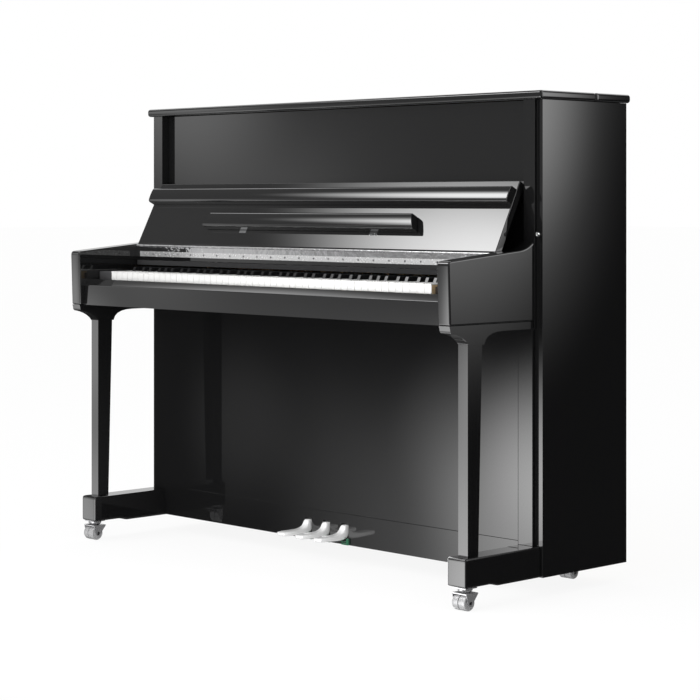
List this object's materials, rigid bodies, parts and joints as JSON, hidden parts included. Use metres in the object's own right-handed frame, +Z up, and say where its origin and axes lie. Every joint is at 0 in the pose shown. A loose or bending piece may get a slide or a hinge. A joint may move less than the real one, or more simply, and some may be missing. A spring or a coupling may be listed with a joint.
{
  "type": "upright piano",
  "caption": "Black polished upright piano on casters, with open leaning key lid, music ledge, pedals, keys and its inner action.",
  "frame": {"origin": "on the floor, under the middle of the footprint", "axes": "+X to the player's right along the keyboard, +Y towards the back of the piano, +Z up; the keyboard faces -Y"},
  "size_m": [1.497, 0.632, 1.21],
  "materials": {
    "black_lacquer": "polished high gloss",
    "chrome": "polished",
    "white_key": "gloss",
    "black_key": "satin",
    "back_spruce": "satin",
    "inner_beech": "satin",
    "bronzed_iron": "satin bronze paint",
    "string_steel": "bright drawn",
    "felt": "matte"
  },
  "bodies": {
    "case": {"action_frame": "inner_beech", "back_frame": "back_spruce", "black_keys": "black_key", "bottom_board": "inner_beech", "bottom_rail": "black_lacquer", "fallboard_hinge": "chrome", "fallboard_rail": "black_lacquer", "iron_plate": "bronzed_iron", "key_frame": "inner_beech", "key_slip": "black_lacquer", "keybed": "black_lacquer", "left_arm": "black_lacquer", "left_key_block": "black_lacquer", "left_leg": "black_lacquer", "left_side": "black_lacquer", "left_toe_block": "black_lacquer", "rear_lid": "black_lacquer", "right_arm": "black_lacquer", "right_key_block": "black_lacquer", "right_leg": "black_lacquer", "right_side": "black_lacquer", "right_toe_block": "black_lacquer", "soundboard": "back_spruce", "strings": "string_steel", "upper_panel": "black_lacquer", "white_keys": "white_key"},
    "front_lid": {"front_lid": "black_lacquer"},
    "lower_panel": {"lower_panel": "black_lacquer"},
    "fallboard": {"fallboard": "black_lacquer"},
    "fallboard_lip": {"fallboard_lip": "black_lacquer"},
    "music_ledge": {"music_ledge": "black_lacquer"},
    "left_pedal": {"left_pedal": "chrome"},
    "left_pedal_rod": {"left_pedal_rod": "inner_beech"},
    "middle_pedal": {"middle_pedal": "chrome"},
    "middle_pedal_rod": {"middle_pedal_rod": "inner_beech"},
    "right_pedal": {"right_pedal": "chrome"},
    "right_pedal_rod": {"right_pedal_rod": "inner_beech"},
    "hammers": {"hammers": "felt"},
    "muffler_rail": {"muffler_rail": "felt"},
    "dampers": {"dampers": "felt"},
    "left_front_caster_fork": {"left_front_caster_fork": "chrome"},
    "left_front_caster_wheel": {"left_front_caster_wheel": "chrome"},
    "left_rear_caster_fork": {"left_rear_caster_fork": "chrome"},
    "left_rear_caster_wheel": {"left_rear_caster_wheel": "chrome"},
    "right_front_caster_fork": {"right_front_caster_fork": "chrome"},
    "right_front_caster_wheel": {"right_front_caster_wheel": "chrome"},
    "right_rear_caster_fork": {"right_rear_caster_fork": "chrome"},
    "right_rear_caster_wheel": {"right_rear_caster_wheel": "chrome"},
    "key_d7": {"key_d7": "white_key"},
    "key_e7": {"key_e7": "white_key"},
    "key_f7": {"key_f7": "white_key"},
    "key_g7": {"key_g7": "white_key"},
    "key_a7": {"key_a7": "white_key"},
    "key_b7": {"key_b7": "white_key"},
    "key_c8": {"key_c8": "white_key"},
    "key_c_sharp7": {"key_c_sharp7": "black_key"},
    "key_d_sharp7": {"key_d_sharp7": "black_key"},
    "key_f_sharp7": {"key_f_sharp7": "black_key"},
    "key_g_sharp7": {"key_g_sharp7": "black_key"},
    "key_a_sharp7": {"key_a_sharp7": "black_key"}
  },
  "joints": [
    {"name": "front_lid_hinge", "type": "hinge", "parent": "case", "child": "front_lid", "pos_m": [0, 0.182, 1.21], "axis": [-1, 0, 0], "range_deg": [0, 177]},
    {"name": "lower_panel_tilt", "type": "hinge", "parent": "case", "child": "lower_panel", "pos_m": [0, -0.02, 0.1313], "axis": [1, 0, 0], "range_deg": [0, 25]},
    {"name": "fallboard_hinge", "type": "hinge", "parent": "case", "child": "fallboard", "pos_m": [0, -0.114, 0.82], "axis": [1, 0, 0], "range_deg": [0, 130]},
    {"name": "fallboard_lip_hinge", "type": "hinge", "parent": "fallboard", "child": "fallboard_lip", "pos_m": [0, -0.03492, 0.97353], "axis": [-1, 0, 0], "range_deg": [0, 90]},
    {"name": "music_ledge_hinge", "type": "hinge", "parent": "fallboard", "child": "music_ledge", "pos_m": [0, -0.09014, 0.86744], "axis": [-1, 0, 0], "range_deg": [-90, 0]},
    {"name": "left_pedal_pivot", "type": "hinge", "parent": "case", "child": "left_pedal", "pos_m": [-0.07, 0.052, 0.088], "axis": [1, 0, 0], "range_deg": [0, 6], "stiffness_Nm_per_rad": 40, "springref_deg": -8.59},
    {"name": "left_pedal_rod_lift", "type": "slide", "parent": "case", "child": "left_pedal_rod", "axis": [0, 0, 1], "range_m": [0, 0.0102]},
    {"name": "middle_pedal_pivot", "type": "hinge", "parent": "case", "child": "middle_pedal", "pos_m": [0, 0.052, 0.088], "axis": [1, 0, 0], "range_deg": [0, 6], "stiffness_Nm_per_rad": 40, "springref_deg": -8.59},
    {"name": "middle_pedal_rod_lift", "type": "slide", "parent": "case", "child": "middle_pedal_rod", "axis": [0, 0, 1], "range_m": [0, 0.0102]},
    {"name": "right_pedal_pivot", "type": "hinge", "parent": "case", "child": "right_pedal", "pos_m": [0.07, 0.052, 0.088], "axis": [1, 0, 0], "range_deg": [0, 6], "stiffness_Nm_per_rad": 40, "springref_deg": -8.59},
    {"name": "right_pedal_rod_lift", "type": "slide", "parent": "case", "child": "right_pedal_rod", "axis": [0, 0, 1], "range_m": [0, 0.0102]},
    {"name": "hammer_rail_swing", "type": "hinge", "parent": "case", "child": "hammers", "pos_m": [0, 0.12, 0.845], "axis": [-1, 0, 0], "range_deg": [0, 9.7]},
    {"name": "muffler_rail_drop", "type": "slide", "parent": "case", "child": "muffler_rail", "axis": [0, 0, -1], "range_m": [0, 0.0352]},
    {"name": "damper_lift", "type": "hinge", "parent": "case", "child": "dampers", "pos_m": [0, 0.16, 0.832], "axis": [1, 0, 0], "range_deg": [0, 4.1]},
    {"name": "left_front_caster_swivel", "type": "hinge", "parent": "case", "child": "left_front_caster_fork", "pos_m": [-0.705, -0.244, 0.045], "axis": [0, 0, 1], "continuous": true},
    {"name": "left_front_caster_roll", "type": "hinge", "parent": "left_front_caster_fork", "child": "left_front_caster_wheel", "pos_m": [-0.705, -0.25, 0.01863], "axis": [1, 0, 0], "continuous": true},
    {"name": "left_rear_caster_swivel", "type": "hinge", "parent": "case", "child": "left_rear_caster_fork", "pos_m": [-0.6086, 0.247, 0.045], "axis": [0, 0, 1], "continuous": true},
    {"name": "left_rear_caster_roll", "type": "hinge", "parent": "left_rear_caster_fork", "child": "left_rear_caster_wheel", "pos_m": [-0.6086, 0.241, 0.01667], "axis": [1, 0, 0], "continuous": true},
    {"name": "right_front_caster_swivel", "type": "hinge", "parent": "case", "child": "right_front_caster_fork", "pos_m": [0.705, -0.244, 0.045], "axis": [0, 0, 1], "continuous": true},
    {"name": "right_front_caster_roll", "type": "hinge", "parent": "right_front_caster_fork", "child": "right_front_caster_wheel", "pos_m": [0.705, -0.25, 0.01863], "axis": [1, 0, 0], "continuous": true},
    {"name": "right_rear_caster_swivel", "type": "hinge", "parent": "case", "child": "right_rear_caster_fork", "pos_m": [0.6086, 0.247, 0.045], "axis": [0, 0, 1], "continuous": true},
    {"name": "right_rear_caster_roll", "type": "hinge", "parent": "right_rear_caster_fork", "child": "right_rear_caster_wheel", "pos_m": [0.6086, 0.241, 0.01667], "axis": [1, 0, 0], "continuous": true},
    {"name": "key_d7_press", "type": "hinge", "parent": "case", "child": "key_d7", "pos_m": [0.45825, -0.038, 0.728], "axis": [1, 0, 0], "range_deg": [0, 2.6], "stiffness_Nm_per_rad": 0.5, "springref_deg": -17.19},
    {"name": "key_e7_press", "type": "hinge", "parent": "case", "child": "key_e7", "pos_m": [0.48175, -0.038, 0.728], "axis": [1, 0, 0], "range_deg": [0, 2.6], "stiffness_Nm_per_rad": 0.5, "springref_deg": -17.19},
    {"name": "key_f7_press", "type": "hinge", "parent": "case", "child": "key_f7", "pos_m": [0.50525, -0.038, 0.728], "axis": [1, 0, 0], "range_deg": [0, 2.6], "stiffness_Nm_per_rad": 0.5, "springref_deg": -17.19},
    {"name": "key_g7_press", "type": "hinge", "parent": "case", "child": "key_g7", "pos_m": [0.52875, -0.038, 0.728], "axis": [1, 0, 0], "range_deg": [0, 2.6], "stiffness_Nm_per_rad": 0.5, "springref_deg": -17.19},
    {"name": "key_a7_press", "type": "hinge", "parent": "case", "child": "key_a7", "pos_m": [0.55225, -0.038, 0.728], "axis": [1, 0, 0], "range_deg": [0, 2.6], "stiffness_Nm_per_rad": 0.5, "springref_deg": -17.19},
    {"name": "key_b7_press", "type": "hinge", "parent": "case", "child": "key_b7", "pos_m": [0.57575, -0.038, 0.728], "axis": [1, 0, 0], "range_deg": [0, 2.6], "stiffness_Nm_per_rad": 0.5, "springref_deg": -17.19},
    {"name": "key_c8_press", "type": "hinge", "parent": "case", "child": "key_c8", "pos_m": [0.59925, -0.038, 0.728], "axis": [1, 0, 0], "range_deg": [0, 2.6], "stiffness_Nm_per_rad": 0.5, "springref_deg": -17.19},
    {"name": "key_c_sharp7_press", "type": "hinge", "parent": "case", "child": "key_c_sharp7", "pos_m": [0.4436, -0.038, 0.728], "axis": [1, 0, 0], "range_deg": [0, 2.6], "stiffness_Nm_per_rad": 0.5, "springref_deg": -17.19},
    {"name": "key_d_sharp7_press", "type": "hinge", "parent": "case", "child": "key_d_sharp7", "pos_m": [0.4729, -0.038, 0.728], "axis": [1, 0, 0], "range_deg": [0, 2.6], "stiffness_Nm_per_rad": 0.5, "springref_deg": -17.19},
    {"name": "key_f_sharp7_press", "type": "hinge", "parent": "case", "child": "key_f_sharp7", "pos_m": [0.5134, -0.038, 0.728], "axis": [1, 0, 0], "range_deg": [0, 2.6], "stiffness_Nm_per_rad": 0.5, "springref_deg": -17.19},
    {"name": "key_g_sharp7_press", "type": "hinge", "parent": "case", "child": "key_g_sharp7", "pos_m": [0.5405, -0.038, 0.728], "axis": [1, 0, 0], "range_deg": [0, 2.6], "stiffness_Nm_per_rad": 0.5, "springref_deg": -17.19},
    {"name": "key_a_sharp7_press", "type": "hinge", "parent": "case", "child": "key_a_sharp7", "pos_m": [0.5676, -0.038, 0.728], "axis": [1, 0, 0], "range_deg": [0, 2.6], "stiffness_Nm_per_rad": 0.5, "springref_deg": -17.19}
  ],
  "couplings": [
    {"joint": "left_pedal_rod_lift", "follows": "left_pedal_pivot", "m_per_rad": 0.096},
    {"joint": "middle_pedal_rod_lift", "follows": "middle_pedal_pivot", "m_per_rad": 0.096},
    {"joint": "right_pedal_rod_lift", "follows": "right_pedal_pivot", "m_per_rad": 0.096},
    {"joint": "hammer_rail_swing", "follows": "left_pedal_pivot", "ratio": 1.6},
    {"joint": "muffler_rail_drop", "follows": "middle_pedal_pivot", "m_per_rad": 0.334},
    {"joint": "damper_lift", "follows": "right_pedal_pivot", "ratio": 0.66}
  ]
}
